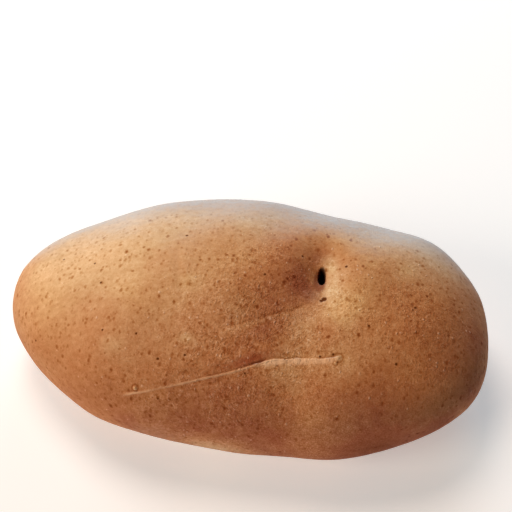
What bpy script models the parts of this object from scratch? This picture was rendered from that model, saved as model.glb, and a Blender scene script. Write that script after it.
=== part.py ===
"""A soft oval bread roll, all in one piece: a domed crust on a flat baked base.

The long side lies along X, with the broad end at +X. The base is flat at z = 0 and the origin is under
the middle of the roll. Sizes are in metres. A place on the crust is given by its distance along X and by
its girth angle in degrees: 0 at the widest line of the near side (-Y), 90 over the crown, 180 at the far side.
"""

import math

import bmesh
import bpy
import numpy as np

ROLL_LENGTH = 0.150
ROLL_WIDTH = 0.0898
ROLL_HEIGHT = 0.046

# The round form, before the base is cut flat
WIDEST_LEVEL = 0.019  # height of the widest line over the base
DOME_RISE = ROLL_HEIGHT - WIDEST_LEVEL
HIDDEN_DEPTH = 0.030  # how far the round form would reach under the widest line
LEFT_FULLNESS = 2.18  # 2 is an ellipse, and more is a blunter end
RIGHT_FULLNESS = 2.22
GIRTH_FULLNESS = 2.2
WIDTH_TAPER = 0.078  # how much broader than the middle the right end is, and how much narrower the left
LEVEL_BLEND = 0.35  # share of the half height over which the dome turns into the part under it
BASE_ROLLOVER = 0.0025  # how softly the side turns into the flat base

OUTWARD = np.array([0.3, 1, 1])  # how much of a place's x, y and z counts in the way it faces outward

# Broad swells and hollows: place along X, girth angle, spread, height
SWELLS = {
    "left_end_near": (-0.064, 10, 0.024, -0.0044),
    "left_far_shoulder": (-0.050, 140, 0.020, -0.0004),
    "left_near_flank": (-0.045, 15, 0.022, 0.0024),
    "left_back_hollow": (-0.046, 110, 0.013, -0.0013),
    "left_near_crown": (-0.042, 58, 0.012, 0.0009),
    "left_crown": (-0.018, 78, 0.014, 0.0012),
    "far_flank": (-0.010, 150, 0.022, 0.0015),
    "near_flank": (0.000, 10, 0.020, -0.0008),
    "middle_hollow": (0.014, 72, 0.011, -0.0015),
    "hole_far_side": (0.022, 116, 0.009, 0.0008),
    "far_saddle": (0.028, 140, 0.015, -0.0030),
    "right_near_flank": (0.042, 15, 0.022, 0.0031),
    "right_crown": (0.052, 62, 0.012, -0.0012),
    "right_far_shoulder": (0.060, 140, 0.014, 0.0009),
    "right_end": (0.064, 60, 0.022, 0.0048),
}

# The slow unevenness of risen dough
WAVE_COUNT = 9
WAVE_LENGTHS = (0.020, 0.045)
WAVE_HEIGHT = 0.00016
WAVE_SEED = 5

# The dimple over the blow hole, and the hole itself
HOLE_PLACE = (0.0238, 92.4)
DIMPLE_SPREAD_X = 0.0046
DIMPLE_SPREAD_Y = 0.0085
DIMPLE_DEPTH = 0.0026
HOLE_HALF_WIDTH = 0.0018
HOLE_HALF_LENGTH = 0.0042
HOLE_DEPTH = 0.0055
HOLE_STEEPNESS = 1.6
PIT_PLACE = (0.0246, 80.5)
PIT_RADIUS = 0.0008
PIT_DEPTH = 0.0012
PIT_STEEPNESS = 1.3

# The valley that runs from the far side, through the dimple, down the near side
VALLEY_ROUTE = [
    (0.0256, 151), (0.0258, 128), (0.0241, 105), (0.0239, 91), (0.0218, 80), (0.0200, 70), (0.0187, 54),
    (0.0186, 38), (0.0207, 22), (0.0244, 1),
]
VALLEY_SPREAD = 0.0050
VALLEY_DEPTH = 0.0011
VALLEY_FADE = 3  # the valley reaches its full depth a third of its length from each end

# The two scores in the crust, from their left ends to their right ends
LOWER_SEAM_ROUTE = [
    (-0.0301, 22.0), (-0.0231, 30.0), (-0.0166, 35.5), (-0.0101, 39.9), (-0.0038, 43.0), (0.0027, 46.2),
    (0.0088, 49.5), (0.0152, 52.4), (0.0206, 54.4), (0.0261, 55.6), (0.0315, 57.1),
]
UPPER_SEAM_ROUTE = [
    (-0.0271, 52.0), (-0.0154, 55.5), (-0.0048, 59.8), (0.0016, 63.9), (0.0072, 67.7), (0.0128, 71.4),
    (0.0184, 74.7), (0.0226, 78.6),
]
LEFT_FOLD_ROUTE = [(-0.0227, 102.6), (-0.0200, 86.0), (-0.0176, 73.7)]
# Each score: depth and half width of its groove, height and distance of the lip below it, rise of the dough
# above it, where along it it is deepest, as a share of its length, and the mesh edge beside it
LOWER_SEAM = {
    "depth": 0.0009, "half_width": 0.0006, "lip": 0.0002, "lip_gap": 0.0011, "rise": 0.00025,
    "deepest": 0.68, "edge": 0.0008,
}
UPPER_SEAM = {
    "depth": 0.00014, "half_width": 0.0011, "lip": 0.0, "lip_gap": 0.0015, "rise": 0.00008,
    "deepest": 0.85, "edge": 0.0019,
}
LEFT_FOLD = {
    "depth": 0.00015, "half_width": 0.0012, "lip": 0.0, "lip_gap": 0.0018, "rise": 0.00015,
    "deepest": 0.50, "edge": 0.0022,
}
SCORES = [(LOWER_SEAM_ROUTE, LOWER_SEAM), (UPPER_SEAM_ROUTE, UPPER_SEAM), (LEFT_FOLD_ROUTE, LEFT_FOLD)]
RISE_REACH = 0.005  # how far the risen dough above a score reaches from it
SCORE_FADE = 1.6  # how soon a score reaches its full depth from its ends

BEAD_PLACE = (-0.0279, 26.9)
BEAD_RADIUS = 0.0008
BEAD_HEIGHT = 0.0006

# Lengths of the mesh edges: fine in the hole and on the bead, coarse away from every mark
BALL_SUBDIVISIONS = 5
HOLE_EDGE = 0.0009
BEAD_EDGE = 0.0005
COARSE_EDGE = 0.0054
FINE_REACH = 0.0009  # how far from a score its own edge length is kept
EDGE_GROWTH = 0.70  # and how fast the edges lengthen from there
MOST_PASSES = 8
NORMAL_STEP = 0.001  # how far the two steps that find a normal turn the direction

CRUST_COLOUR = (0.50, 0.25, 0.10, 1)
CRUST_ROUGHNESS = 0.55


def clear_scene():
    for thing in list(bpy.data.objects):
        bpy.data.objects.remove(thing)


def smooth_step(share):
    """0 below 0, 1 above 1, and a smooth rise between."""
    share = np.clip(share, 0, 1)
    return share * share * (3 - 2 * share)


def superellipse(first, second, fullness):
    """The factor that brings each pair onto the unit superellipse of that fullness."""
    return (np.abs(first) ** fullness + np.abs(second) ** fullness) ** (-1 / fullness)


def round_point(along, reach, side, height):
    """The round form, where along and reach lie on the long profile, and side and height round the girth."""
    girth = reach * superellipse(side, height, GIRTH_FULLNESS)
    level = girth * height
    rise = HIDDEN_DEPTH + (DOME_RISE - HIDDEN_DEPTH) * smooth_step((level + LEVEL_BLEND) / (2 * LEVEL_BLEND))
    x = ROLL_LENGTH / 2 * along
    y = ROLL_WIDTH / 2 * (1 + WIDTH_TAPER * along) * girth * side
    return np.stack([x, y, WIDEST_LEVEL + rise * level], -1)


def round_form(directions):
    """The round form met by each direction from the middle of a unit ball."""
    along = directions[:, 0]
    reach = np.maximum(np.hypot(directions[:, 1], directions[:, 2]), 1e-9)
    fullness = np.where(along < 0, LEFT_FULLNESS, RIGHT_FULLNESS)
    onto = superellipse(along, reach, fullness)
    return round_point(along * onto, reach * onto, directions[:, 1] / reach, directions[:, 2] / reach)


def crust_place(x, girth_degrees):
    """The point of the round form at that distance along X and that girth angle."""
    along = np.array([x / (ROLL_LENGTH / 2)])
    fullness = LEFT_FULLNESS if x < 0 else RIGHT_FULLNESS
    reach = (1 - np.abs(along) ** fullness) ** (1 / fullness)
    girth = math.radians(girth_degrees)
    return round_point(along, reach, np.array([-math.cos(girth)]), np.array([math.sin(girth)]))[0]


def add_swells(points):
    lifted = points.copy()
    for x, girth, spread, height in SWELLS.values():
        place = crust_place(x, girth)
        outward = place * OUTWARD - [0, 0, WIDEST_LEVEL]
        outward /= np.linalg.norm(outward)
        near = np.exp(-((points - place) ** 2).sum(axis=1) / (2 * spread**2))
        lifted += np.outer(near * height, outward)
    return lifted


def soft_form(directions):
    return add_swells(round_form(directions))


def soft_place(x, girth_degrees):
    """The same place once the swells are in."""
    return add_swells(crust_place(x, girth_degrees)[None])[0]


def route_curve(route, per_span=12):
    """Points on a smooth curve through the route's places on the soft form."""
    places = np.array([soft_place(x, girth) for x, girth in route])
    ends = [2 * places[0] - places[1], *places, 2 * places[-1] - places[-2]]
    curve = []
    for before, start, end, after in zip(ends, ends[1:], ends[2:], ends[3:]):
        for t in np.arange(per_span) / per_span:
            curve.append(
                0.5 * (2 * start + (end - before) * t + (2 * before - 5 * start + 4 * end - after) * t**2
                       + (3 * start - before - 3 * end + after) * t**3)
            )
    return np.array([*curve, places[-1]])


def nearest_on(curve, points):
    """For each point: its distance to the curve, the share of the curve there, and +1 above it or -1 below."""
    offsets = points[:, None, :] - curve[None, :, :]
    gaps = np.linalg.norm(offsets, axis=2)
    index = gaps.argmin(axis=1)
    picked = np.arange(len(points))
    towards = np.gradient(curve, axis=0)[index]
    upward = np.cross(points * OUTWARD - [0, 0, WIDEST_LEVEL / 2], towards)
    side = np.sign((upward * offsets[picked, index]).sum(axis=1))
    along = towards / np.linalg.norm(towards, axis=1, keepdims=True)
    offset = offsets[picked, index]
    across = np.linalg.norm(offset - along * (offset * along).sum(axis=1, keepdims=True), axis=1)
    past_end = (index == 0) | (index == len(curve) - 1)
    return np.where(past_end, gaps[picked, index], across), index / (len(curve) - 1), side


def dough_waves(points):
    """A slow, seeded unevenness, from waves that cross the roll in many directions."""
    draw = np.random.default_rng(WAVE_SEED)
    height = np.zeros(len(points))
    for _ in range(WAVE_COUNT):
        heading = draw.normal(size=3)
        heading *= 2 * math.pi / draw.uniform(*WAVE_LENGTHS) / np.linalg.norm(heading)
        height += np.sin(points @ heading + draw.uniform(0, 2 * math.pi))
    return WAVE_HEIGHT * height


def outward_normals(directions):
    """The soft form's normals, from two short steps to the side of each direction."""
    helper = np.where(np.abs(directions[:, 2:]) < 0.8, [[0, 0, 1]], [[1, 0, 0]])
    first = np.cross(directions, helper)
    first /= np.linalg.norm(first, axis=1, keepdims=True)
    second = np.cross(directions, first)
    here = soft_form(directions)
    first_way = soft_form(directions + NORMAL_STEP * first) - here
    second_way = soft_form(directions + NORMAL_STEP * second) - here
    normal = np.cross(first_way, second_way)
    return normal / np.linalg.norm(normal, axis=1, keepdims=True)


def score_relief(points, route, score):
    """The groove of a score, the lip under it and the dough that has risen over it."""
    gap, share, side = nearest_on(route_curve(route), points)
    envelope = np.where(share < score["deepest"], share / score["deepest"], (1 - share) / (1 - score["deepest"]))
    envelope = smooth_step(envelope * SCORE_FADE)
    groove = -score["depth"] * np.exp(-((gap / score["half_width"]) ** 2))
    lip = score["lip"] * np.exp(-(((gap - score["lip_gap"]) / score["lip_gap"]) ** 2)) * (side < 0)
    rise = score["rise"] * smooth_step(gap / score["lip_gap"]) * np.exp(-((gap / RISE_REACH) ** 2)) * (side > 0)
    return envelope * (groove + lip + rise)


def dimple_relief(points):
    """The dimple and the valley through it, which has no ends that show."""
    offset = points - soft_place(*HOLE_PLACE)
    dimple = np.exp(-((offset[:, 0] / DIMPLE_SPREAD_X) ** 2 + (offset[:, 1] / DIMPLE_SPREAD_Y) ** 2) / 2)
    dimple *= offset[:, 2] > -DOME_RISE
    gap, share, _ = nearest_on(route_curve(VALLEY_ROUTE), points)
    fade = smooth_step(VALLEY_FADE * share) * smooth_step(VALLEY_FADE * (1 - share))
    valley = fade * np.exp(-((gap / VALLEY_SPREAD) ** 2) / 2)
    return -DIMPLE_DEPTH * dimple - VALLEY_DEPTH * valley


def hole_relief(points):
    """The blow hole and the small pit beside it, with steep sides and a round floor."""
    offset = points - soft_place(*HOLE_PLACE)
    from_hole = np.hypot(offset[:, 0] / HOLE_HALF_WIDTH, offset[:, 1] / HOLE_HALF_LENGTH)
    hole = smooth_step(HOLE_STEEPNESS * (1 - from_hole)) * (offset[:, 2] > -DOME_RISE)
    from_pit = np.linalg.norm(points - soft_place(*PIT_PLACE), axis=1) / PIT_RADIUS
    return -HOLE_DEPTH * hole - PIT_DEPTH * smooth_step(PIT_STEEPNESS * (1 - from_pit))


def bead_relief(points):
    from_bead = np.linalg.norm(points - soft_place(*BEAD_PLACE), axis=1) / BEAD_RADIUS
    return BEAD_HEIGHT * np.sqrt(np.clip(1 - from_bead**2, 0, 1))


def flatten_base(points):
    """Presses what lies under the base onto z = 0, with a soft turn where the side meets it."""
    z = points[:, 2]
    turn = (z + BASE_ROLLOVER) ** 2 / (4 * BASE_ROLLOVER)
    points[:, 2] = np.where(z < -BASE_ROLLOVER, 0, np.where(z < BASE_ROLLOVER, turn, z))
    return points


def fit_to_size(points):
    """Brings the finished form to its named sizes, with the origin under its middle."""
    low, high = points.min(axis=0), points.max(axis=0)
    scale = np.array([ROLL_LENGTH, ROLL_WIDTH, ROLL_HEIGHT]) / (high - low)
    middle = (low + high) / 2
    return (points - [middle[0], middle[1], 0]) * scale


def finished_form(directions):
    points = soft_form(directions)
    relief = dough_waves(points) + dimple_relief(points) + hole_relief(points) + bead_relief(points)
    for route, score in SCORES:
        relief += score_relief(points, route, score)
    points += outward_normals(directions) * relief[:, None]
    return fit_to_size(flatten_base(points))


def wanted_edges(points):
    """The mesh edge length wanted at each point."""
    wanted = [np.full(len(points), COARSE_EDGE)]
    for route, score in SCORES:
        gap = nearest_on(route_curve(route), points)[0]
        wanted.append(score["edge"] + EDGE_GROWTH * np.maximum(gap - FINE_REACH, 0))
    from_bead = np.linalg.norm(points - soft_place(*BEAD_PLACE), axis=1)
    wanted.append(BEAD_EDGE + EDGE_GROWTH * np.maximum(from_bead - BEAD_RADIUS, 0))
    offset = (points - soft_place(*HOLE_PLACE)) / [1, HOLE_HALF_LENGTH / HOLE_HALF_WIDTH, 1]
    from_hole = np.linalg.norm(offset, axis=1)
    wanted.append(HOLE_EDGE + EDGE_GROWTH * np.maximum(from_hole - HOLE_HALF_WIDTH, 0))
    return np.min(wanted, axis=0)


def directions_of(mesh):
    found = np.array([vertex.co for vertex in mesh.verts])
    return found / np.linalg.norm(found, axis=1, keepdims=True)


def refine(mesh):
    """Halves the edges of the unit ball that come out too long on the roll."""
    for _ in range(MOST_PASSES):
        mesh.verts.index_update()
        points = soft_form(directions_of(mesh))
        wanted = wanted_edges(points)
        long_edges = []
        for edge in mesh.edges:
            start, end = (vertex.index for vertex in edge.verts)
            on_base = max(points[start][2], points[end][2]) < -BASE_ROLLOVER
            if not on_base and np.linalg.norm(points[start] - points[end]) > min(wanted[start], wanted[end]):
                long_edges.append(edge)
        if not long_edges:
            return
        bmesh.ops.subdivide_edges(mesh, edges=long_edges, cuts=1)
        bmesh.ops.triangulate(mesh, faces=mesh.faces)
        for vertex in mesh.verts:
            vertex.co.normalize()


def crust_material():
    material = bpy.data.materials.new("crust")
    material.use_nodes = True
    shader = material.node_tree.nodes["Principled BSDF"]
    shader.inputs["Base Color"].default_value = CRUST_COLOUR
    shader.inputs["Roughness"].default_value = CRUST_ROUGHNESS
    shader.inputs["Metallic"].default_value = 0
    return material


def make_roll():
    ball = bmesh.new()
    bmesh.ops.create_icosphere(ball, subdivisions=BALL_SUBDIVISIONS, radius=1)
    refine(ball)
    for vertex, point in zip(ball.verts, finished_form(directions_of(ball))):
        vertex.co = point
    bmesh.ops.beautify_fill(ball, faces=ball.faces, edges=ball.edges, method="ANGLE")
    mesh = bpy.data.meshes.new("mollete_roll")
    ball.to_mesh(mesh)
    ball.free()
    mesh.shade_smooth()
    mesh.materials.append(crust_material())
    roll = bpy.data.objects.new("mollete_roll", mesh)
    bpy.context.scene.collection.objects.link(roll)


clear_scene()
make_roll()
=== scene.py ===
import math

import bmesh
import bpy
import numpy as np
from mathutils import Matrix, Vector
from mathutils.bvhtree import BVHTree


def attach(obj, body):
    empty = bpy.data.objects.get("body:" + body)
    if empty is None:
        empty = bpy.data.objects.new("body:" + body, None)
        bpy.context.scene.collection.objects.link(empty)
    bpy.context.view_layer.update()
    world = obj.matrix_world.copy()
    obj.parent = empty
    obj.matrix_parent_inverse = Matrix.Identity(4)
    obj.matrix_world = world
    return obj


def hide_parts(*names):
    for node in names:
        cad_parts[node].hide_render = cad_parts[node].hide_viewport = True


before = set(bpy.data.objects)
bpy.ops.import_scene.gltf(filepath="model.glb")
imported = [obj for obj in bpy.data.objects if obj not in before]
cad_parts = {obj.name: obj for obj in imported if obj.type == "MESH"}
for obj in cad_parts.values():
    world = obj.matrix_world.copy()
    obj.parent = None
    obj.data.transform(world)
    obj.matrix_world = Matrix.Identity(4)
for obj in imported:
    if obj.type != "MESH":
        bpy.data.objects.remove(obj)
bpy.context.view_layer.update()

mm = 0.001
leastWeight = 0.002  # what would move by a smaller share than this is left alone


# camera, at the height and turn that the photograph was taken from

cameraView = {
    "azimuth": 5.8,  # degrees round from the front, towards +X
    "elevation": 52,
    "distance": 0.400,
    "middle": (0, 0, 20 * mm),  # the point of the roll that the distance is measured to
    "lens": 89.3,  # the lens and the sensor are in the camera's own millimetres
    "sensor": 36,
    "nearest": 10 * mm,  # nothing closer to the camera is drawn
    "aimRight": 3.1 * mm,  # the lens points a little past that point, as the photo is framed
    "aimUp": 20.0 * mm,
}


def makeCamera():
    turn, lift = math.radians(cameraView["azimuth"]), math.radians(cameraView["elevation"])
    back = Vector((math.sin(turn) * math.cos(lift), -math.cos(turn) * math.cos(lift), math.sin(lift)))
    right = Vector((math.cos(turn), math.sin(turn), 0))
    up = back.cross(right)
    place = Vector(cameraView["middle"]) + back * cameraView["distance"]
    aim = Vector(cameraView["middle"]) + right * cameraView["aimRight"] + up * cameraView["aimUp"]
    bpy.ops.object.camera_add(location=place)
    camera = bpy.context.object
    camera.name = "photoCamera"
    camera.rotation_mode = "QUATERNION"
    camera.rotation_quaternion = (place - aim).to_track_quat("Z", "Y")
    camera.data.sensor_width = cameraView["sensor"]
    camera.data.lens = cameraView["lens"]
    camera.data.clip_start = cameraView["nearest"]
    bpy.context.scene.camera = camera


# soft studio light: each lamp is a round panel, placed by its turn from +X towards +Y and its height

studioLight = {
    "lamps": {
        "keyFromBackLeft": {"turn": 135, "lift": 15, "power": 5.6, "colour": (0.79, 0.96, 1.00)},
        "warmFromLeft": {"turn": 215, "lift": 32, "power": 6.9, "colour": (1.00, 0.82, 0.65)},
        "coolFromBehind": {"turn": 85, "lift": 15, "power": 6.8, "colour": (0.42, 0.78, 1.00)},
        "softFromAbove": {"turn": 120, "lift": 62, "power": 7.4, "colour": (1.00, 0.76, 0.62)},
    },
    "size": 0.60,
    "distance": 1.2,
    "roomStrength": 0.0,  # the lamps and the floor's glow are all the light there is
}


def makeLights():
    for name, lamp in studioLight["lamps"].items():
        turn, lift = math.radians(lamp["turn"]), math.radians(lamp["lift"])
        towards = Vector((math.cos(turn) * math.cos(lift), math.sin(turn) * math.cos(lift), math.sin(lift)))
        bpy.ops.object.light_add(type="AREA", location=towards * studioLight["distance"])
        light = bpy.context.object
        light.name = name
        light.rotation_mode = "QUATERNION"
        light.rotation_quaternion = towards.to_track_quat("Z", "Y")
        light.data.shape = "DISK"
        light.data.size = studioLight["size"]
        light.data.energy = lamp["power"]
        light.data.color = lamp["colour"]
    room = bpy.data.worlds.new("room")
    room.use_nodes = True
    room.node_tree.nodes["Background"].inputs["Strength"].default_value = studioLight["roomStrength"]
    bpy.context.scene.world = room
    bpy.context.scene.view_settings.view_transform = "Standard"


floorLook = {
    "width": 8.0,
    "gap": 0.1 * mm,
    "colour": (0.82, 0.86, 0.89),
    "roughness": 0.85,
    "glow": 0.36,  # a light table, so that the shadow stays pale
    "glowColour": (1.0, 1.0, 1.0),
}


def makeFloor():
    bpy.ops.object.select_all(action="DESELECT")
    bpy.ops.mesh.primitive_plane_add(size=floorLook["width"], location=(0, 0, -floorLook["gap"]))
    floor = bpy.context.object
    floor.name = "paleFloor"
    paint = bpy.data.materials.new("palePaint")
    paint.use_nodes = True
    shader = paint.node_tree.nodes["Principled BSDF"]
    shader.inputs["Base Color"].default_value = (*floorLook["colour"], 1)
    shader.inputs["Roughness"].default_value = floorLook["roughness"]
    shader.inputs["Emission Color"].default_value = (*floorLook["glowColour"], 1)
    shader.inputs["Emission Strength"].default_value = floorLook["glow"]
    floor.data.materials.append(paint)


# the crust: a fine copy of the solid, with its scores, pits and small unevenness carved in

crustShape = {
    "weld": 0.01 * mm,  # corners of the solid's triangles that are closer than this become one
    "roundOff": 2,  # subdivision levels that round off the solid's facets
    "voxel": 0.8 * mm,
    "smoothBy": 0.5,  # how strongly each smoothing pass works
    "evenPasses": 10,  # smoothing passes after the remesh
    "soothePasses": 40,  # how long the solid's own scores are smoothed before the sharp ones are cut
    "sootheReach": 3.2 * mm,
    "sootheSharpness": 1.5,
    "fineReach": 2.0 * mm,  # how far from each score the mesh is made finer
    "fineReachAtSpecks": 1.5 * mm,
    "fineReachAtHole": 7 * mm,
    "fineCuts": 3,
    "slowWaves": {"size": 8 * mm, "height": 0.14 * mm},
    "quickWaves": {"size": 2.4 * mm, "height": 0.07 * mm},
}

# places are plan positions in millimetres, dropped onto the crust from above; each profile is a crease
# just above the route, a thin ridge just under it and, on the two scores, a soft rise of the crust above;
# "along" gives the strength at shares of the route's length, from its left end
lowerScore = {
    "route": [(-33.4, -37.1), (-30.4, -37.2), (-28.6, -37.2), (-25.9, -37.0), (-20.0, -36.3),
              (-14.2, -35.3), (-8.5, -34.2), (-2.7, -33.0), (1.2, -31.9), (4.0, -30.9), (6.7, -29.9),
              (9.0, -29.0), (11.5, -28.3), (14.5, -27.9), (17.2, -27.2), (20.7, -27.2), (24.2, -27.1),
              (27.0, -26.7), (30.2, -25.9)],
    "crease": {"depth": 0.42 * mm, "width": 0.34 * mm, "offset": 0.22 * mm,
               "along": [(0, 0), (0.33, 0.05), (0.52, 0.25), (0.585, 0.45), (0.61, 0.95), (0.65, 1.05),
                         (0.67, 0.30), (0.71, 0.12), (0.745, 0.45), (0.76, 0.15), (0.79, 0.35),
                         (0.825, 0.30), (0.845, 0.02), (0.885, 0.05), (0.905, 0.50), (0.93, 0.20),
                         (0.965, 0.55), (1, 0)]},
    "ridge": {"height": 0.17 * mm, "width": 0.26 * mm, "offset": -0.22 * mm,
              "along": [(0, 0.5), (0.05, 1.5), (0.12, 1.0), (0.18, 0.50), (0.24, 0.75), (0.30, 1.1),
                        (0.60, 1.0), (0.70, 1.2), (0.80, 0.6), (0.97, 0.5), (1, 0)]},
    "rise": {"height": 0.28 * mm, "width": 2.6 * mm,
             "along": [(0, 0), (0.45, 0.5), (0.60, 1.0), (0.75, 0.4), (1, 0)]},
}
upperScore = {
    "route": [(-7.9, -22.7), (-4.6, -21.4), (-1.8, -20.2), (2.0, -18.3), (5.6, -16.5), (8.0, -15.2),
              (10.4, -14.1), (12.8, -13.0), (14.9, -12.0), (17.0, -10.8), (18.6, -9.4), (19.9, -8.0)],
    "crease": {"depth": 0.09 * mm, "width": 0.60 * mm, "offset": 0.10 * mm,
               "along": [(0, 0), (0.35, 0.1), (0.48, 0.5), (0.6, 1.0), (0.9, 0.9), (1, 0)]},
    "ridge": {"height": 0.06 * mm, "width": 0.55 * mm, "offset": -0.50 * mm,
              "along": [(0, 0), (0.15, 1.0), (0.35, 1.0), (0.5, 0.6), (0.9, 1.0), (1, 0)]},
    "rise": {"height": 0.14 * mm, "width": 1.8 * mm, "along": [(0, 0), (0.5, 0.6), (0.8, 1.0), (1, 0)]},
}
leftFold = {
    "route": [(-23.1, 8.5), (-22.0, 2.5), (-20.9, -3.5), (-19.4, -9.0), (-18.6, -13.5)],
    "crease": {"depth": 0.10 * mm, "width": 1.2 * mm, "offset": 1.0 * mm,
               "along": [(0, 0), (0.3, 1), (0.7, 0.8), (1, 0)]},
    "ridge": {"height": 0.10 * mm, "width": 1.3 * mm, "offset": -1.2 * mm,
              "along": [(0, 0), (0.3, 1), (0.7, 0.8), (1, 0)]},
}
# the dough that tore open under the right half of the long score, as a row of soft flat lumps
tornLip = {
    "from": 0.57,  # shares of the score's length
    "fullFrom": 0.675,
    "lumpGap": 3.0 * mm,
    "lumpRadius": 1.35 * mm,
    "lumpHeight": 0.20 * mm,
    "lumpStretch": 1.25,  # how much longer than wide
    "lumpSharpness": 1.3,
    "radiusVaries": (0.7, 1.25),
    "downVaries": (0.45, 0.75),  # how far a lump lies under the score, in its own radii
    "heightVaries": (0.3, 1.2),
    "gapVaries": (0.6, 1.4),
    "seed": 3,
}
# how much pale dough shows along the score, and how wide its rim is in millimetres
tornStrength = [(0.60, 0.3), (0.65, 0.85), (0.67, 1.0), (0.715, 1.0), (0.755, 0.70), (0.795, 1.0),
                (0.825, 0.90), (0.865, 0.60), (0.915, 0.66), (0.95, 0.60), (0.98, 0.75), (1, 0.3)]
tornWidth = [(0.60, 1.0), (0.66, 2.0), (0.72, 2.3), (0.755, 1.6), (0.805, 2.6), (0.865, 1.9), (0.92, 2.2),
             (1, 1.6)]
# the blow hole, in millimetres from its place; its ovals are the solid's own hole that is filled first,
# its darkest part, where shade is painted, and its brown-red edge with painted shade, which reaches furthest
# to the left and towards the near side; "half" is half an oval's width and half its length
blowHole = {
    "place": (22.70, 2.3),
    "halfWidth": 1.27,
    "halfLength": 3.3,
    "bluntness": 2.2,  # 2 is an ellipse, and more is squarer
    "lean": -0.04,
    "sharpness": 3.2,  # higher makes its wall steeper
    "depth": 4.5 * mm,
    "above": 30 * mm,  # nothing lower down belongs to it
    "fillPasses": 160,
    "fill": {"aside": 0, "back": 0, "lean": 0, "half": (3.6, 6.4), "sharpness": 2.5},
    "shade": {"aside": 0.15, "back": 0.5, "lean": -0.04, "half": (1.35, 3.7), "sharpness": 2.6},
    "edge": {"aside": -0.55, "back": -2.0, "lean": 0, "half": (2.4, 5.6), "sharpness": 2.4},
}
# raised specks of dough: plan position, radius and height in millimetres
doughBeads = [(-29.1, -36.4, 0.85, 0.55), (29.1, -26.6, 1.25, 0.24), (28.4, -28.3, 0.60, 0.22)]
# dark bran pits: plan position and radius in millimetres
branPits = [
    (23.9, -6.9, 1.05), (23.1, -7.5, 0.72), (16.5, 7.7, 0.50), (5.8, -1.9, 0.52), (29.9, 5.2, 0.58),
    (51.0, -7.3, 0.55), (50.2, -8.3, 0.36), (37.5, -15.8, 0.45), (45.9, -26.2, 0.52), (-19.5, 12.4, 0.52),
    (-46.8, 2.3, 0.42), (-43.4, -6.0, 0.45), (-40.4, -22.2, 0.42), (-30.0, -23.8, 0.45),
    (-22.9, -30.4, 0.52), (-15.1, -29.4, 0.45), (-22.2, -38.6, 0.40), (-62.7, -18.4, 0.40),
    (-57.7, 6.6, 0.40),
    (13.8, -28.1, 0.34), (16.4, -27.4, 0.26), (23.9, -26.5, 0.44), (27.6, -25.7, 0.48), (29.0, -27.9, 0.32),
    (2.7, -32.9, 0.40),
]
# how sharply pits and beads stand out in shape and in paint, and the painted shade in a ring round a bead
speckShape = {
    "pitDepth": 0.16,  # in the pit's own radii
    "pitSharpness": 1.2,
    "pitPaint": 2.2,
    "beadSharpness": 1.15,
    "beadPaint": 1.5,
    "ringAt": 1.15,  # in the bead's own radii, as the next one is
    "ringWidth": 0.25,
}


def selectOnly(piece):
    bpy.ops.object.select_all(action="DESELECT")
    piece.select_set(True)
    bpy.context.view_layer.objects.active = piece


def applyModifier(piece, kind, **settings):
    selectOnly(piece)
    bpy.ops.object.modifier_add(type=kind)
    modifier = piece.modifiers[-1]
    for setting, value in settings.items():
        setattr(modifier, setting, value)
    bpy.ops.object.modifier_apply(modifier=modifier.name)


def applyWhere(piece, weights, kind, least=0.0, **settings):
    # applies a modifier through a vertex group that holds the weights above the least
    group = piece.vertex_groups.new(name="where")
    for index in np.flatnonzero(weights > least):
        group.add([int(index)], float(weights[index]), "REPLACE")
    applyModifier(piece, kind, vertex_group="where", **settings)
    piece.vertex_groups.remove(piece.vertex_groups["where"])


def points(piece):
    found = np.empty(len(piece.data.vertices) * 3)
    piece.data.vertices.foreach_get("co", found)
    return found.reshape(-1, 3)


def normals(piece):
    found = np.empty(len(piece.data.vertices) * 3)
    piece.data.vertex_normals.foreach_get("vector", found)
    return found.reshape(-1, 3)


def softStep(share):
    share = np.clip(share, 0, 1)
    return share * share * (3 - 2 * share)


def bell(distance, width):
    return np.exp(-((distance / width) ** 2))


def dropOnto(piece, plan):
    # plan positions in millimetres, brought down onto the crust from above
    tree = BVHTree.FromObject(piece, bpy.context.evaluated_depsgraph_get())
    wellAbove = 0.2
    landed = []
    for x, y in plan:
        spot, _, _, _ = tree.ray_cast(Vector((x * mm, y * mm, wellAbove)), Vector((0, 0, -1)))
        landed.append(spot)
    return np.array(landed)


def smoothRoute(plan, perSpan=16):
    # a Catmull-Rom curve through the plan positions
    plan = np.array(plan, float)
    ends = [2 * plan[0] - plan[1], *plan, 2 * plan[-1] - plan[-2]]
    curve = []
    for before, start, end, after in zip(ends, ends[1:], ends[2:], ends[3:]):
        for t in np.arange(perSpan) / perSpan:
            bend = (2 * before - 5 * start + 4 * end - after) * t**2
            twist = (3 * start - before - 3 * end + after) * t**3
            curve.append(0.5 * (2 * start + (end - before) * t + bend + twist))
    return [*curve, plan[-1]]


def beside(piece, route):
    # for each vertex: its distance from the route, how far along it is, and how far up the slope from it
    farAway, margin = 1.0, 8 * mm
    spots, outward = points(piece), normals(piece)
    gap = np.full(len(spots), farAway)
    share = np.zeros(len(spots))
    uphill = np.zeros(len(spots))
    low, high = route.min(axis=0) - margin, route.max(axis=0) + margin
    near = np.flatnonzero(((spots > low) & (spots < high)).all(axis=1))
    offsets = spots[near, None, :] - route[None, :, :]
    gaps = np.linalg.norm(offsets, axis=2)
    index = gaps.argmin(axis=1)
    picked = np.arange(len(near))
    offset = offsets[picked, index]
    along = np.gradient(route, axis=0)[index]
    along /= np.linalg.norm(along, axis=1, keepdims=True)
    up = np.cross(outward[near], along)
    reached = np.concatenate([[0], np.linalg.norm(np.diff(route, axis=0), axis=1).cumsum()])
    share[near] = reached[index] / reached[-1]
    uphill[near] = (offset * up).sum(axis=1)
    atEnd = (index == 0) | (index == len(route) - 1)
    gap[near] = np.where(atEnd, gaps[picked, index], np.abs(uphill[near]))
    return gap, share, uphill


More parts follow.
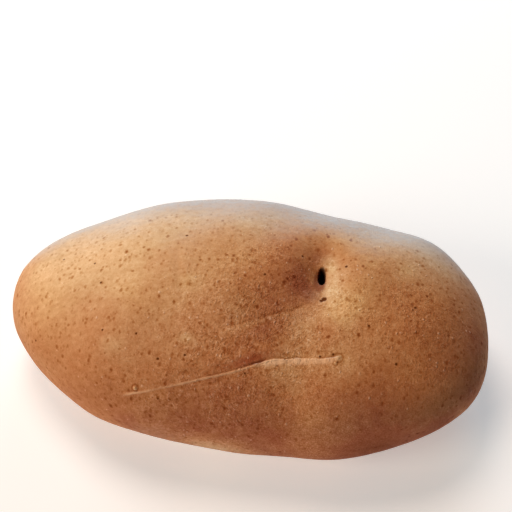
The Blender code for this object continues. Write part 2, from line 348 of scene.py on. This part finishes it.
def strengthAlong(share, table):
    return np.interp(share, *zip(*table))


def moveOut(piece, heights):
    # moves each vertex along its normal, first those that go out and then those that go in
    for side in (1, -1):
        amount = np.clip(side * heights, 0, None)
        most = amount.max()
        if most > 0:
            applyWhere(piece, amount / most, "DISPLACE", leastWeight, strength=side * most, mid_level=0)


def roughen(piece, name, waves):
    clouds = bpy.data.textures.new(name, "CLOUDS")
    clouds.noise_scale = waves["size"]
    clouds.noise_depth = 1
    applyModifier(piece, "DISPLACE", texture=clouds, texture_coords="LOCAL", strength=waves["height"],
                  mid_level=0.5)


def keepAttribute(piece, name, values):
    attribute = piece.data.attributes.new(name, "FLOAT", "POINT")
    attribute.data.foreach_set("value", np.clip(values, 0, 1).astype(np.float32))


def patchField(piece, patches, base=0.0):
    # soft round patches that add up: place and spread in millimetres, then the amount
    spots = points(piece) / mm
    total = np.full(len(spots), base)
    for x, y, z, spread, amount in patches:
        total += amount * np.exp(-((spots - [x, y, z]) ** 2).sum(axis=1) / (2 * spread**2))
    return total


def copySolid():
    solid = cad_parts["mollete_roll"]
    selectOnly(solid)
    bpy.ops.object.duplicate()
    crust = bpy.context.object
    crust.name = "crustOfRoll"
    crust.data.name = "crustOfRoll"
    crust.data.materials.clear()
    bpy.ops.object.mode_set(mode="EDIT")
    bpy.ops.mesh.select_all(action="SELECT")
    bpy.ops.mesh.remove_doubles(threshold=crustShape["weld"])
    bpy.ops.object.mode_set(mode="OBJECT")
    applyModifier(crust, "SUBSURF", levels=crustShape["roundOff"], render_levels=crustShape["roundOff"])
    applyModifier(crust, "REMESH", mode="VOXEL", voxel_size=crustShape["voxel"], use_smooth_shade=True)
    applyModifier(crust, "SMOOTH", factor=crustShape["smoothBy"], iterations=crustShape["evenPasses"])
    return crust


def sootheScores(crust, routes):
    near = np.zeros(len(crust.data.vertices))
    for route in routes:
        gap, _, _ = beside(crust, route)
        closeness = 1 - gap / crustShape["sootheReach"]
        near = np.maximum(near, softStep(crustShape["sootheSharpness"] * closeness))
    applyWhere(crust, near, "SMOOTH", factor=crustShape["smoothBy"], iterations=crustShape["soothePasses"])


def besideHole(crust):
    # how far each vertex is to the right of the blow hole and behind it, in millimetres, and if it is on top
    spots = points(crust)
    x = spots[:, 0] / mm - blowHole["place"][0]
    y = spots[:, 1] / mm - blowHole["place"][1]
    return x, y, spots[:, 2] > blowHole["above"]


def inOval(x, y, oval):
    # 1 in the oval and 0 outside it
    halfWidth, halfLength = oval["half"]
    across = (x - oval["aside"] - oval["lean"] * y) / halfWidth
    return softStep(oval["sharpness"] * (1 - np.hypot(across, (y - oval["back"]) / halfLength)))


def fillHole(crust):
    # smooths the solid's own blow hole shut, so that the sharp one can be cut in its place
    x, y, onTop = besideHole(crust)
    near = inOval(x, y, blowHole["fill"]) * onTop
    applyWhere(crust, near, "SMOOTH", factor=1.0, iterations=blowHole["fillPasses"])


def refineBeside(crust, routes, spots):
    spotsNow = points(crust)
    near = np.zeros(len(spotsNow), bool)
    for route in routes:
        near |= beside(crust, route)[0] < crustShape["fineReach"]
    for spot, reach in spots:
        near |= np.linalg.norm(spotsNow - spot, axis=1) < reach
    selectOnly(crust)
    bpy.ops.object.mode_set(mode="EDIT")
    bpy.ops.mesh.select_mode(type="FACE")
    bpy.ops.mesh.select_all(action="DESELECT")
    mesh = bmesh.from_edit_mesh(crust.data)
    for face in mesh.faces:
        if all(near[vertex.index] for vertex in face.verts):
            face.select = True
    bmesh.update_edit_mesh(crust.data)
    bpy.ops.mesh.subdivide(number_cuts=crustShape["fineCuts"], smoothness=1)
    bpy.ops.object.mode_set(mode="OBJECT")


def cutScore(crust, score, route):
    _, share, uphill = beside(crust, route)
    crease, ridge, rise = score["crease"], score["ridge"], score.get("rise")
    depth = crease["depth"] * strengthAlong(share, crease["along"])
    height = ridge["height"] * strengthAlong(share, ridge["along"])
    heights = height * bell(uphill - ridge["offset"], ridge["width"])
    heights -= depth * bell(uphill - crease["offset"], crease["width"])
    if rise:
        above = softStep(0.5 + uphill / mm)
        heights += rise["height"] * strengthAlong(share, rise["along"]) * bell(uphill, rise["width"]) * above
    moveOut(crust, heights)


def tearLip(crust, route):
    draw = np.random.default_rng(tornLip["seed"])
    _, share, uphill = beside(crust, route)
    length = np.linalg.norm(np.diff(route, axis=0), axis=1).sum()
    along = share * length
    heights = np.zeros(len(share))
    middle = tornLip["from"] * length + tornLip["lumpGap"]
    while middle < length:
        radius = tornLip["lumpRadius"] * draw.uniform(*tornLip["radiusVaries"])
        down = -draw.uniform(*tornLip["downVaries"]) * radius
        away = np.hypot((along - middle) / tornLip["lumpStretch"], uphill - down) / radius
        height = draw.uniform(*tornLip["heightVaries"]) * tornLip["lumpHeight"]
        heights += height * softStep(tornLip["lumpSharpness"] * (1 - away))
        middle += tornLip["lumpGap"] * draw.uniform(*tornLip["gapVaries"])
    moveOut(crust, heights)


def pitAndBead(crust, pitSpots, beadSpots):
    # gives back where to paint the pits, the beads and the painted shade in rings round them
    spots = points(crust)
    heights = np.zeros(len(spots))
    inPits = np.zeros(len(spots))
    for spot, (_, _, radius) in zip(pitSpots, branPits):
        away = np.linalg.norm(spots - spot, axis=1) / (radius * mm)
        heights -= speckShape["pitDepth"] * radius * mm * softStep(speckShape["pitSharpness"] * (1 - away))
        inPits = np.maximum(inPits, softStep(speckShape["pitPaint"] * (1 - away)))
    onBeads = np.zeros(len(spots))
    ringShade = np.zeros(len(spots))
    for spot, (_, _, radius, height) in zip(beadSpots, doughBeads):
        away = np.linalg.norm(spots - spot, axis=1) / (radius * mm)
        heights += height * mm * softStep(speckShape["beadSharpness"] * (1 - away))
        onBeads = np.maximum(onBeads, softStep(speckShape["beadPaint"] * (1 - away)))
        ringShade = np.maximum(ringShade, bell(away - speckShape["ringAt"], speckShape["ringWidth"]))
    moveOut(crust, heights)
    return inPits, onBeads, ringShade


def sinkHole(crust):
    # the blow hole goes straight down, so that its far wall doesn't show
    x, y, onTop = besideHole(crust)
    across = np.abs(x - blowHole["lean"] * y) / blowHole["halfWidth"]
    blunt = blowHole["bluntness"]
    away = (across**blunt + np.abs(y / blowHole["halfLength"]) ** blunt) ** (1 / blunt)
    inHole = softStep(blowHole["sharpness"] * (1 - away)) * onTop
    depth = blowHole["depth"]
    applyWhere(crust, inHole, "DISPLACE", leastWeight, direction="Z", strength=-depth, mid_level=0)
    return inOval(x, y, blowHole["shade"]) * onTop, inOval(x, y, blowHole["edge"]) * onTop


# where the scores are painted: "at" is up the slope from the score, and under it where that is below zero
scorePaint = {
    "reach": 4.5 * mm,
    "reachFade": 1.0 * mm,
    "startFade": 0.040,  # shares of the score's length
    "endFade": 0.0625,
    "ridgeLine": {"at": -0.26 * mm, "width": 0.32 * mm, "strength": 0.45},
    "tornTop": 0.18 * mm,
    "tornTopFade": 0.3 * mm,
    "tornFade": 1.2 * mm,
    "underTorn": {"at": -0.5 * mm, "fade": 1.2 * mm, "strength": 0.60},
    # painted shade on the crust above the score, where it overhangs
    "overhangShade": {"at": 1.5 * mm, "width": 2.2 * mm, "fade": 0.3 * mm, "middle": 0.595, "spread": 0.105},
    # the dark line in the long score's crease is painted shade
    "crease": {"at": 0.22 * mm, "width": 0.30 * mm},
    "upperReach": 3 * mm,
    "upperCreaseShade": {"at": 0.3 * mm, "width": 0.65 * mm, "strength": 0.20},
    "upperRidge": {"at": -0.9 * mm, "width": 0.9 * mm, "strength": 0.32},
    "ringShadeStrength": 0.60,
    "beadStrength": 0.45,
}
# the dry base, and a dusting of flour with a painted sheen on the far slopes, by how far the crust faces back
# and up
flour = {
    "baseTop": 2.0 * mm,
    "baseFade": 1.5 * mm,
    "backFrom": 0.10,
    "backFade": 0.50,
    "upFrom": 0.12,
    "upFade": 0.50,
    "lowFade": 25 * mm,
}


def paintLowerScore(crust, route):
    # where pale dough, the painted shade above it under the overhanging crust, the painted shade in the
    # crease and the paler crust below the torn dough show
    gap, share, uphill = beside(crust, route)
    look = scorePaint
    close = softStep((look["reach"] - gap) / look["reachFade"])
    ends = softStep(share / look["startFade"]) * softStep((1 - share) / look["endFade"])
    ridge, below, overhangShade, crease = look["ridgeLine"], look["underTorn"], look["overhangShade"], look["crease"]
    thin = bell(uphill - ridge["at"], ridge["width"]) * strengthAlong(share, lowerScore["ridge"]["along"])
    band = softStep((share - tornLip["from"]) / (tornLip["fullFrom"] - tornLip["from"]))
    band *= softStep((look["tornTop"] - uphill) / look["tornTopFade"]) * ends * close
    strength = strengthAlong(share, tornStrength)
    rim = softStep((uphill + strengthAlong(share, tornWidth) * mm) / look["tornFade"]) * strength
    lip = np.maximum(ridge["strength"] * thin * ends * close, band * rim)
    fade = below["strength"] * band * strength * np.exp(np.minimum(uphill - below["at"], 0) / below["fade"])
    shade = bell(uphill - overhangShade["at"], overhangShade["width"]) * softStep(uphill / overhangShade["fade"])
    shade *= bell(share - overhangShade["middle"], overhangShade["spread"]) * close
    # painted shade in the crease
    cut = bell(uphill - crease["at"], crease["width"]) * close
    cut *= strengthAlong(share, lowerScore["crease"]["along"])
    return lip, shade, cut, fade


def paintUpperScore(crust, route):
    # where its crease's painted shade and the paler line under it show
    gap, share, uphill = beside(crust, route)
    close = gap < scorePaint["upperReach"]
    crease, ridge = scorePaint["upperCreaseShade"], scorePaint["upperRidge"]
    line = bell(uphill - crease["at"], crease["width"]) * strengthAlong(share, upperScore["crease"]["along"])
    paler = bell(uphill - ridge["at"], ridge["width"]) * strengthAlong(share, upperScore["ridge"]["along"])
    return crease["strength"] * line * close, ridge["strength"] * paler * close


def makeCrust():
    crust = copySolid()
    routes = {}
    for name, score in {"lowerScore": lowerScore, "upperScore": upperScore, "leftFold": leftFold}.items():
        routes[name] = dropOnto(crust, smoothRoute(score["route"]))
    sootheScores(crust, routes.values())
    fillHole(crust)
    roughen(crust, "slowWaves", crustShape["slowWaves"])
    roughen(crust, "quickWaves", crustShape["quickWaves"])
    pitSpots = dropOnto(crust, [(x, y) for x, y, _ in branPits])
    beadSpots = dropOnto(crust, [(x, y) for x, y, _, _ in doughBeads])
    holeSpot = dropOnto(crust, [blowHole["place"]])[0]
    fineSpots = [(spot, crustShape["fineReachAtSpecks"]) for spot in [*pitSpots, *beadSpots]]
    fineSpots.append((holeSpot, crustShape["fineReachAtHole"]))
    refineBeside(crust, [routes["lowerScore"], routes["upperScore"]], fineSpots)

    cutScore(crust, leftFold, routes["leftFold"])
    cutScore(crust, upperScore, routes["upperScore"])
    cutScore(crust, lowerScore, routes["lowerScore"])
    tearLip(crust, routes["lowerScore"])
    inPits, onBeads, ringShade = pitAndBead(crust, pitSpots, beadSpots)
    inHole, holeEdgeAndShade = sinkHole(crust)
    triangles = sum(len(face.vertices) - 2 for face in crust.data.polygons)
    print("crust carved:", len(crust.data.vertices), "vertices,", triangles, "triangles")

    lip, shade, cut, fade = paintLowerScore(crust, routes["lowerScore"])
    upperShade, upperPale = paintUpperScore(crust, routes["upperScore"])
    keepAttribute(crust, "tornDough", lip)
    keepAttribute(crust, "paintedOverhangShade", shade)
    # painted shade in the creases of both scores and in the rings round the beads
    cut = np.maximum(cut, upperShade)
    keepAttribute(crust, "paintedCreaseShade", np.maximum(cut, scorePaint["ringShadeStrength"] * ringShade))
    keepAttribute(crust, "besideScore", np.maximum(upperPale, fade))
    keepAttribute(crust, "branPit", inPits)
    keepAttribute(crust, "inHole", inHole)
    keepAttribute(crust, "besideHole", holeEdgeAndShade)
    keepAttribute(crust, "browningAndShade", patchField(crust, browningAndShadePatches, baseBrowning) / browningRoom)
    keepAttribute(crust, "warmth", patchField(crust, warmPatches, baseWarmth))
    keepAttribute(crust, "calm", patchField(crust, calmPatches))
    keepAttribute(crust, "grainy", patchField(crust, grainyPatches))
    cream = np.maximum(patchField(crust, creamPatches), scorePaint["beadStrength"] * onBeads)
    keepAttribute(crust, "creamy", cream)
    height = points(crust)[:, 2]
    keepAttribute(crust, "floury", softStep((flour["baseTop"] - height) / flour["baseFade"]))
    _, back, up = normals(crust).T
    # flour dust and painted sheen where the crust faces back and up
    dustAndSheenShare = softStep((back - flour["backFrom"]) / flour["backFade"])
    dustAndSheenShare *= softStep((up - flour["upFrom"]) / flour["upFade"])
    keepAttribute(crust, "dustAndSheen", dustAndSheenShare * softStep(height / flour["lowFade"]))
    crust.data.shade_smooth()
    return crust


# the crust's colours, as light that it gives back, and the sizes of its grain and flecks

baseBrowning = 1.156  # away from the patches
browningRoom = 2.0  # the mesh keeps the browning divided by this, because it holds nothing over 1
baseWarmth = 0.473
evenWarmth = 0.5  # this leaves the hue as it is

crustLook = {
    # the colours of the browning and its painted shade, from pale to darkest, by amount
    "browningAndShade": [(0.0, (0.84, 0.53, 0.28)), (0.3, (0.75, 0.465, 0.235)), (0.6, (0.67, 0.365, 0.175)),
                 (1.05, (0.555, 0.235, 0.095)), (1.5, (0.37, 0.11, 0.045)), (1.9, (0.27, 0.07, 0.022))],
    "warmLine": (0.0, -0.6, -1.8),  # how one unit of warmer changes red, green and blue
    "shadeLine": (0.60, 1.0, 1.5),  # how strongly one shade of darker or lighter changes red, green and blue
    # colours laid over it, each with its greatest strength
    "cream": (0.87, 0.64, 0.37),
    "creamStrength": 1.0,
    "pale": (0.95, 0.56, 0.29),
    "paleStrength": 1.0,
    # painted shade above the long score, where the crust overhangs it
    "paintedOverhangShade": (0.36, 0.095, 0.040),
    "paintedOverhangShadeStrength": 0.90,
    "torn": (0.97, 0.63, 0.39),
    "dustAndSheen": (0.56, 0.50, 0.48),  # a dusting of flour with a painted sheen, seen on the far slopes
    "blisterGlint": (0.86, 0.54, 0.37),
    "blisterGlintStrength": 0.38,
    "floury": (0.72, 0.55, 0.36),
    "flouryStrength": 0.7,
    "branDark": (0.14, 0.036, 0.004),
    "branDarkStrength": 1.0,
    "holeEdgeAndShade": (0.27, 0.075, 0.028),
    "holeEdgeAndShadeStrength": 0.85,
    "holeShade": (0.035, 0.010, 0.005),
    "holeShadeStrength": 1.0,
    "roughness": 0.60,
    "specular": 0.03,
    "sheen": 0.012,
    "sheenRoughness": 0.35,
    "sheenTint": (1.0, 0.97, 0.95),
}

# noise that goes above and below zero: size, detail and roughness
crustNoise = {
    "broad": (18 * mm, 2, 0.5),
    "mottle": (3.0 * mm, 2, 0.6),
    "grain": (0.75 * mm, 2, 0.7),
    "finest": (0.42 * mm, 1.5, 0.6),
    "freckles": (1.7 * mm, 1, 0.5),
    "crowd": (7 * mm, 2, 0.5),  # where clear flecks crowd together
}
# noise that breaks up a patch: size, detail and roughness, then its contrast and shift
breakUp = {
    "grainy": (6 * mm, 1, 0.5, 2.6, -0.45),
    "torn": (1.6 * mm, 2, 0.5, 1.3, 0.28),
    "dustAndSheen": (2.2 * mm, 3, 0.7, 1.1, 0.35),
}
# bran: faint specks all over, clear flecks, a few dark ones and pale blisters with painted glints, each in
# some of the cells of a lattice; the share of cells is changed where the crust is grainy or calm, and where
# flecks crowd
fleckLook = {
    "faint": {"spacing": 1.05 * mm, "radius": 0.48 * mm, "soft": 1.0, "share": 0.42, "grainy": 0.35},
    "clear": {"spacing": 1.60 * mm, "radius": 0.78 * mm, "soft": 1.0, "share": 0.42, "grainy": 0.40,
              "calm": -0.36, "crowd": 0.9},
    "dark": {"spacing": 2.6 * mm, "radius": 0.84 * mm, "soft": 0.8, "share": 0.50, "grainy": 0.30,
             "calm": -0.40},
    "glintBlister": {"spacing": 1.25 * mm, "radius": 0.48 * mm, "soft": 0.7, "share": 0.012, "grainy": 0.40},
}
fleckForm = {
    "wobbleSize": 0.8 * mm,
    "wobble": 0.7 * mm,  # how far the wobble moves a fleck's outline
    "lattice": (1.12, 0.84, 1.0),  # below 1 makes flecks longer that way, and above 1 shorter
    "smallest": 0.6,  # radii vary between this share of the full one and all of it
    "strength": (0.55, 1.45),  # of the faintest and the strongest
}
# what adds up to the browning with its painted shade, to how light or dark a spot is, and to the bump in
# millimetres;
# "grain in grainy" is the grain where the crust is grainy
addedBrowning = {"browningAndShade": browningRoom, "broad": 0.35, "mottle": 0.30, "mottle in grainy": 0.3}
addedShade = {
    "grain": 0.35, "finest": 0.35, "grain in grainy": 1.7, "finest in grainy": 1.1, "finest in calm": 1.8,
    "freckles": 0.50, "freckles in grainy": 0.8, "faint": -0.40, "clear": -0.74, "dark": -1.00,
    # the creases' painted shade darkens by this much
    "glintBlister": 0.45, "paintedCreaseShade": -1.2,
}
addedBump = {
    "grain": 0.06, "grain in grainy": 0.42, "finest": 0.04, "finest in grainy": 0.16, "mottle": 0.12,
    "glintBlister": 0.13, "clear": -0.05,
}

# soft round patches: place and spread in millimetres, then the amount; most of the brown and warm ones were
# found by a fit of a render to the photo, and rounded, so the brown ones hold painted shade and painted light
# besides the browning
browningAndShadePatches = [
    (-44, 14, 39, 20, -1.14),  # the pale left end, partly painted light
    (-44, 14, 39, 6, 0.38),
    (-48, 17, 36, 13, -0.10),
    (-25, 20, 42, 2.5, -0.20),
    (-19, 23, 41, 6, -0.26),
    (-60, -11, 34, 9, -0.39),
    (-62, -19, 26, 4, 0.14),
    (-50, -32, 18, 5, 0.12),
    (-33, -40, 17, 4, 0.23),
    (-25, -37, 31, 2.5, -0.15),
    (-30, -25, 40, 2.5, 0.14),
    (-64, 1, 34, 4, -0.33),
    (-36, -8, 43, 4, -0.35),
    (-32, -27, 39, 6, -0.33),
    (-32, -15, 43, 4, -0.13),
    (-25, 2, 45, 4, 0.13),
    (-19, -13, 44, 9, -0.40),
    (-16, -7, 45, 2.5, -0.33),
    (-15, -19, 43, 2.5, 0.15),
    (-18, -29, 39, 4, -0.20),
    (-14, -26, 41, 2.5, -0.15),
    (42, -41, 15, 9, 0.70),  # low on the near side, darker: partly painted shade
    (0, -43, 13, 13, 0.39),
    (0, -42, 10, 6, -0.62),
    (-9, -41, 9, 5, -0.60),
    (-13, -42, 24, 4, 0.13),
    (40, -38, 32, 4, 0.18),
    (24, -34, 36, 2.5, 0.19),
    (18, -36, 34, 2.5, -0.17),
    (12, -44, 23, 2.5, 0.18),
    (22, -41, 30, 2.5, -0.26),
    (60, -34, 19, 4, 0.55),  # the broad end, darker: partly painted shade
    (70, -11, 32, 4, 0.26),
    (70, -25, 24, 4, 0.25),
    (49, -25, 37, 4, -0.21),
    (18, -5, 42, 4, 0.35),  # left of the blow hole and under it, darker: partly painted shade in the hollow
    (16.5, 1, 43, 3.5, 0.20),
    (9, 12, 44, 4, 0.16),
    (23, 12, 42, 2.5, 0.24),
    (35, -15, 42, 2.5, 0.24),
    (8, -20, 42, 4, 0.19),
    (8, -10, 43, 2.5, 0.14),
    (20.5, -7, 41, 1.8, 0.25),
    (21, 8.5, 41.5, 1.8, 0.30),
    (40, -23, 39, 3, -0.15),
    (0, -37, 37, 2.5, 0.10),
    (25, -18, 41, 2.5, 0.42),
    (20.8, 0.8, 41, 1.6, -0.30),
    (-7, 0, 46, 6, -0.30),  # paler stretches of the crown
    (1, 4, 45, 2.5, -0.17),
    (-6, -23, 42, 4, -0.11),
    (-2, -15, 44, 4, -0.22),
    (-1, 21, 43, 9, -0.61),
    (16, 29, 38, 6, -0.36),
    (6, 27, 41, 2.5, -0.25),
    (30, -12, 42, 6, -0.89),  # down the valley from the blow hole
    (33, -8, 43, 2.5, -0.18),
    (29, -11, 42, 2.5, -0.20),
    (27, -32, 37, 2.5, -0.15),
    (20, -31, 37, 2.5, 0.14),
    (18, -18, 41, 4, -0.44),
    (21, -29, 38, 6, -0.46),
    (33, -29, 39, 4, -0.34),
    (30, -26, 40, 2.5, -0.30),
    (19, -10, 41, 2.5, -0.22),
    (42, -19, 40, 4, -0.12),
    (12, -30, 38, 4, -0.37),
    (-1, -31, 38, 2.5, -0.23),
    (36, -2, 43, 4, -0.34),
    (41, 21, 39, 13, -0.76),  # the far right shoulder, paler: partly painted light
    (60, 14, 36, 6, -0.46),
    (54, 23, 36, 4, -0.28),
    (37, 7, 43, 2.5, -0.18),
    (29, 17, 41, 4, -0.15),
    (57, 1, 39, 6, -0.08),
    (49, 7, 40, 2.5, -0.35),
    (0, 55, 12, 22, -0.30),  # the far side
]
# warmer stretches, and cooler ones below zero; partly a painted tint that stands in for the colour of the
# light
warmPatches = [
    (35, -2, 43, 13, 0.17),
    (57, -5, 39, 6, 0.12),
    (-2, 1, 46, 9, 0.11),
    (-61, -14, 31, 9, 0.06),
    (54, 23, 36, 9, -0.25),
    (69, 3, 32, 6, -0.15),
    (69, -23, 27, 9, -0.09),
    (39, -42, 27, 9, -0.09),
    (5, 23, 42, 6, -0.13),
    (-15, 25, 41, 9, -0.17),
    (-39, 22, 38, 9, -0.17),
    (0, -42, 10, 13, -0.11),
    (-26, -40, 14, 6, -0.18),
    (15, -29, 39, 6, 0.07),
    (-30, -13, 43, 6, 0.06),
    (51, -27, 36, 8, 0.07),
    (33, -29, 39, 6, 0.05),
    (-24, 27, 40, 18, 0.09),
    (34, 24, 38, 13, 0.09),
    (72, -13, 29, 6, -0.08),
    (54, -38, 21, 7, -0.08),
    (18, -5, 42, 6, -0.10),
]
# where the crust is rough with bran and blisters
grainyPatches = [(5, -24, 40, 16, 1.0), (-18, -40, 25, 16, 0.5), (48, -8, 40, 12, 0.55),
                 (60, -24, 34, 12, 0.35), (8, 2, 44, 10, 0.45)]
# where clear flecks are few
calmPatches = [(28, -44, 15, 20, 0.9)]
# dough that shows paler beside the blow hole, and in a few spots of the crust
creamPatches = [(24.6, 7.6, 41.3, 2.0, 0.42), (25.2, 4.6, 42, 1.5, 0.70), (26.0, 0.5, 42, 1.8, 0.45),
                (25.6, -3.8, 42, 2.3, 0.48), (27.6, -5.6, 42.3, 2.4, 0.32), (29.2, 2.5, 43, 2.6, 0.22),
                (20.6, -6.3, 41, 1.8, 0.15), (-15.4, -24.7, 41.2, 1.2, 0.40), (-38.5, -26.3, 37.5, 1.6, 0.20),
                (-35.5, -26.8, 38.2, 1.6, 0.20)]

mixSockets = (0, 6, 7)  # the Mix node's share and its two colours, among sockets for other kinds of value
mixResult = 2


def addNode(tree, kind, **settings):
    node = tree.nodes.new(kind)
    for setting, value in settings.items():
        setattr(node, setting, value)
    return node


def feed(tree, socket, value):
    if isinstance(value, bpy.types.NodeSocket):
        tree.links.new(value, socket)
    elif socket.type == "RGBA":
        socket.default_value = (*value, 1)
    else:
        socket.default_value = value


def attributeOf(tree, name):
    return addNode(tree, "ShaderNodeAttribute", attribute_name=name).outputs["Fac"]


def calc(tree, operation, first, second=0.5, third=0.0, clamp=False):
    node = addNode(tree, "ShaderNodeMath", operation=operation, use_clamp=clamp)
    for socket, value in zip(node.inputs, (first, second, third)):
        feed(tree, socket, value)
    return node.outputs[0]


def vectorCalc(tree, operation, *values):
    node = addNode(tree, "ShaderNodeVectorMath", operation=operation)
    for socket, value in zip(node.inputs, values):
        feed(tree, socket, value)
    return node.outputs[0]


def blendColours(tree, share, first, second, mode="MIX"):
    node = addNode(tree, "ShaderNodeMix", data_type="RGBA", blend_type=mode)
    for index, value in zip(mixSockets, (share, first, second)):
        feed(tree, node.inputs[index], value)
    return node.outputs[mixResult]


def layOver(tree, colour, mask, name):
    # lays one of the look's colours over what is there, at its own strength
    share = calc(tree, "MULTIPLY", mask, crustLook[name + "Strength"])
    return blendColours(tree, share, colour, crustLook[name])


def noise(tree, where, size, detail, rough):
    node = addNode(tree, "ShaderNodeTexNoise")
    node.inputs["Scale"].default_value = 1 / size
    node.inputs["Detail"].default_value = detail
    node.inputs["Roughness"].default_value = rough
    tree.links.new(where, node.inputs["Vector"])
    return node.outputs["Fac"]


def breakUpPatch(tree, where, name, clamp=False):
    # noise to multiply a patch by
    size, detail, rough, contrast, shift = breakUp[name]
    return calc(tree, "MULTIPLY_ADD", noise(tree, where, size, detail, rough), contrast, shift, clamp)


def wobbled(tree, place):
    # the lattice of the flecks, bent a little so that their outlines are uneven, and stretched
    wobble = addNode(tree, "ShaderNodeTexNoise")
    wobble.inputs["Scale"].default_value = 1 / fleckForm["wobbleSize"]
    tree.links.new(place, wobble.inputs["Vector"])
    bent = vectorCalc(tree, "MULTIPLY_ADD", wobble.outputs["Color"], (fleckForm["wobble"],) * 3, place)
    return vectorCalc(tree, "MULTIPLY", bent, fleckForm["lattice"])


def flecks(tree, where, kind, masks):
    # specks in some of the cells of a lattice: their strength in the speck, 0 outside
    changes = [(masks[name], kind[name]) for name in ("grainy", "calm", "crowd") if name in kind]
    share = addUp(tree, changes, kind["share"])
    cells = addNode(tree, "ShaderNodeTexVoronoi")
    cells.inputs["Scale"].default_value = 1 / kind["spacing"]
    tree.links.new(where, cells.inputs["Vector"])
    chance = addNode(tree, "ShaderNodeSeparateColor")
    tree.links.new(cells.outputs["Color"], chance.inputs["Color"])
    chosen = calc(tree, "LESS_THAN", chance.outputs[0], share)
    radius = kind["radius"] / kind["spacing"]
    smallest = fleckForm["smallest"] * radius
    size = calc(tree, "MULTIPLY_ADD", chance.outputs[1], radius - smallest, smallest)
    size = calc(tree, "MULTIPLY", size, chosen)
    inside = calc(tree, "SUBTRACT", size, cells.outputs["Distance"])
    inside = calc(tree, "DIVIDE", inside, kind["soft"] * radius, clamp=True)
    faintest, strongest = fleckForm["strength"]
    strength = calc(tree, "MULTIPLY_ADD", chance.outputs[2], strongest - faintest, faintest)
    return calc(tree, "MULTIPLY", inside, strength)


def addUp(tree, parts, start=0.0):
    total = start
    for mask, amount in parts:
        total = calc(tree, "MULTIPLY_ADD", mask, amount, total)
    return total


def addUpNamed(tree, masks, amounts):
    # adds up masks by name, and first makes those that are one mask in another
    parts = []
    for name, amount in amounts.items():
        if name not in masks:
            pattern, _, where = name.partition(" in ")
            masks[name] = calc(tree, "MULTIPLY", masks[pattern], masks[where])
        parts.append((masks[name], amount))
    return addUp(tree, parts)


def shaded(tree, colour, amount, line):
    # multiplies red, green and blue by e to the power of the amount times the line's number for each
    factor = addNode(tree, "ShaderNodeCombineColor")
    for socket, strength in zip(factor.inputs, line):
        tree.links.new(calc(tree, "POWER", math.exp(strength), amount), socket)
    return blendColours(tree, 1.0, colour, factor.outputs[0], "MULTIPLY")


def browningColours(tree, amount):
    ramp = addNode(tree, "ShaderNodeValToRGB")
    stops = ramp.color_ramp.elements
    most = crustLook["browningAndShade"][-1][0]
    while len(stops) < len(crustLook["browningAndShade"]):
        stops.new(0.5)
    for stop, (at, colour) in zip(stops, crustLook["browningAndShade"]):
        stop.position = at / most
        stop.color = (*colour, 1)
    tree.links.new(calc(tree, "DIVIDE", amount, most, clamp=True), ramp.inputs[0])
    return ramp.outputs["Color"]


def crustMasks(tree, place):
    # everything that the colours and the bump are added up from, by name
    masks = {}
    for name in ("browningAndShade", "warmth", "calm", "creamy", "paintedCreaseShade", "besideScore", "paintedOverhangShade", "floury",
                 "branPit", "besideHole", "inHole"):
        masks[name] = attributeOf(tree, name)
    for name, (size, detail, rough) in crustNoise.items():
        masks[name] = calc(tree, "SUBTRACT", noise(tree, place, size, detail, rough), 0.5)
    # the rough stretches break up into clusters of a few millimetres
    clusters = breakUpPatch(tree, place, "grainy", clamp=True)
    masks["grainy"] = calc(tree, "MULTIPLY", attributeOf(tree, "grainy"), clusters)
    for name, patch in {"torn": "tornDough", "dustAndSheen": "dustAndSheen"}.items():
        uneven = breakUpPatch(tree, place, name)
        masks[name] = calc(tree, "MULTIPLY", attributeOf(tree, patch), uneven, clamp=True)
    lattice = wobbled(tree, place)
    for name, kind in fleckLook.items():
        masks[name] = flecks(tree, lattice, kind, masks)
    return masks


def crustMaterial():
    material = bpy.data.materials.new("bakedCrust")
    material.use_nodes = True
    tree = material.node_tree
    shader = tree.nodes["Principled BSDF"]
    place = addNode(tree, "ShaderNodeTexCoord").outputs["Object"]
    masks = crustMasks(tree, place)

    colour = browningColours(tree, addUpNamed(tree, masks, addedBrowning))
    colour = shaded(tree, colour, calc(tree, "SUBTRACT", masks["warmth"], evenWarmth), crustLook["warmLine"])
    colour = layOver(tree, colour, masks["creamy"], "cream")
    colour = layOver(tree, colour, masks["besideScore"], "pale")
    colour = shaded(tree, colour, addUpNamed(tree, masks, addedShade), crustLook["shadeLine"])
    colour = layOver(tree, colour, masks["paintedOverhangShade"], "paintedOverhangShade")
    colour = blendColours(tree, masks["torn"], colour, crustLook["torn"])
    # flour dust with a painted sheen on the far slopes
    colour = blendColours(tree, masks["dustAndSheen"], colour, crustLook["dustAndSheen"])
    # pale blisters with painted glints
    colour = layOver(tree, colour, masks["glintBlister"], "blisterGlint")
    colour = layOver(tree, colour, masks["floury"], "floury")
    colour = layOver(tree, colour, masks["branPit"], "branDark")
    # the blow hole's brown-red edge, partly painted shade, and the painted shade inside it
    colour = layOver(tree, colour, masks["besideHole"], "holeEdgeAndShade")
    colour = layOver(tree, colour, masks["inHole"], "holeShade")
    tree.links.new(colour, shader.inputs["Base Color"])

    shader.inputs["Roughness"].default_value = crustLook["roughness"]
    shader.inputs["Specular IOR Level"].default_value = crustLook["specular"]
    shader.inputs["Sheen Weight"].default_value = crustLook["sheen"]
    shader.inputs["Sheen Roughness"].default_value = crustLook["sheenRoughness"]
    shader.inputs["Sheen Tint"].default_value = (*crustLook["sheenTint"], 1)

    bump = addNode(tree, "ShaderNodeBump")
    bump.inputs["Strength"].default_value = 1
    bump.inputs["Distance"].default_value = mm
    tree.links.new(addUpNamed(tree, masks, addedBump), bump.inputs["Height"])
    tree.links.new(bump.outputs["Normal"], shader.inputs["Normal"])
    return material


makeCamera()
makeLights()
makeFloor()
print("studio made")
crust = makeCrust()
crust.data.materials.append(crustMaterial())
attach(crust, "root")
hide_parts("mollete_roll")
print("crust made")
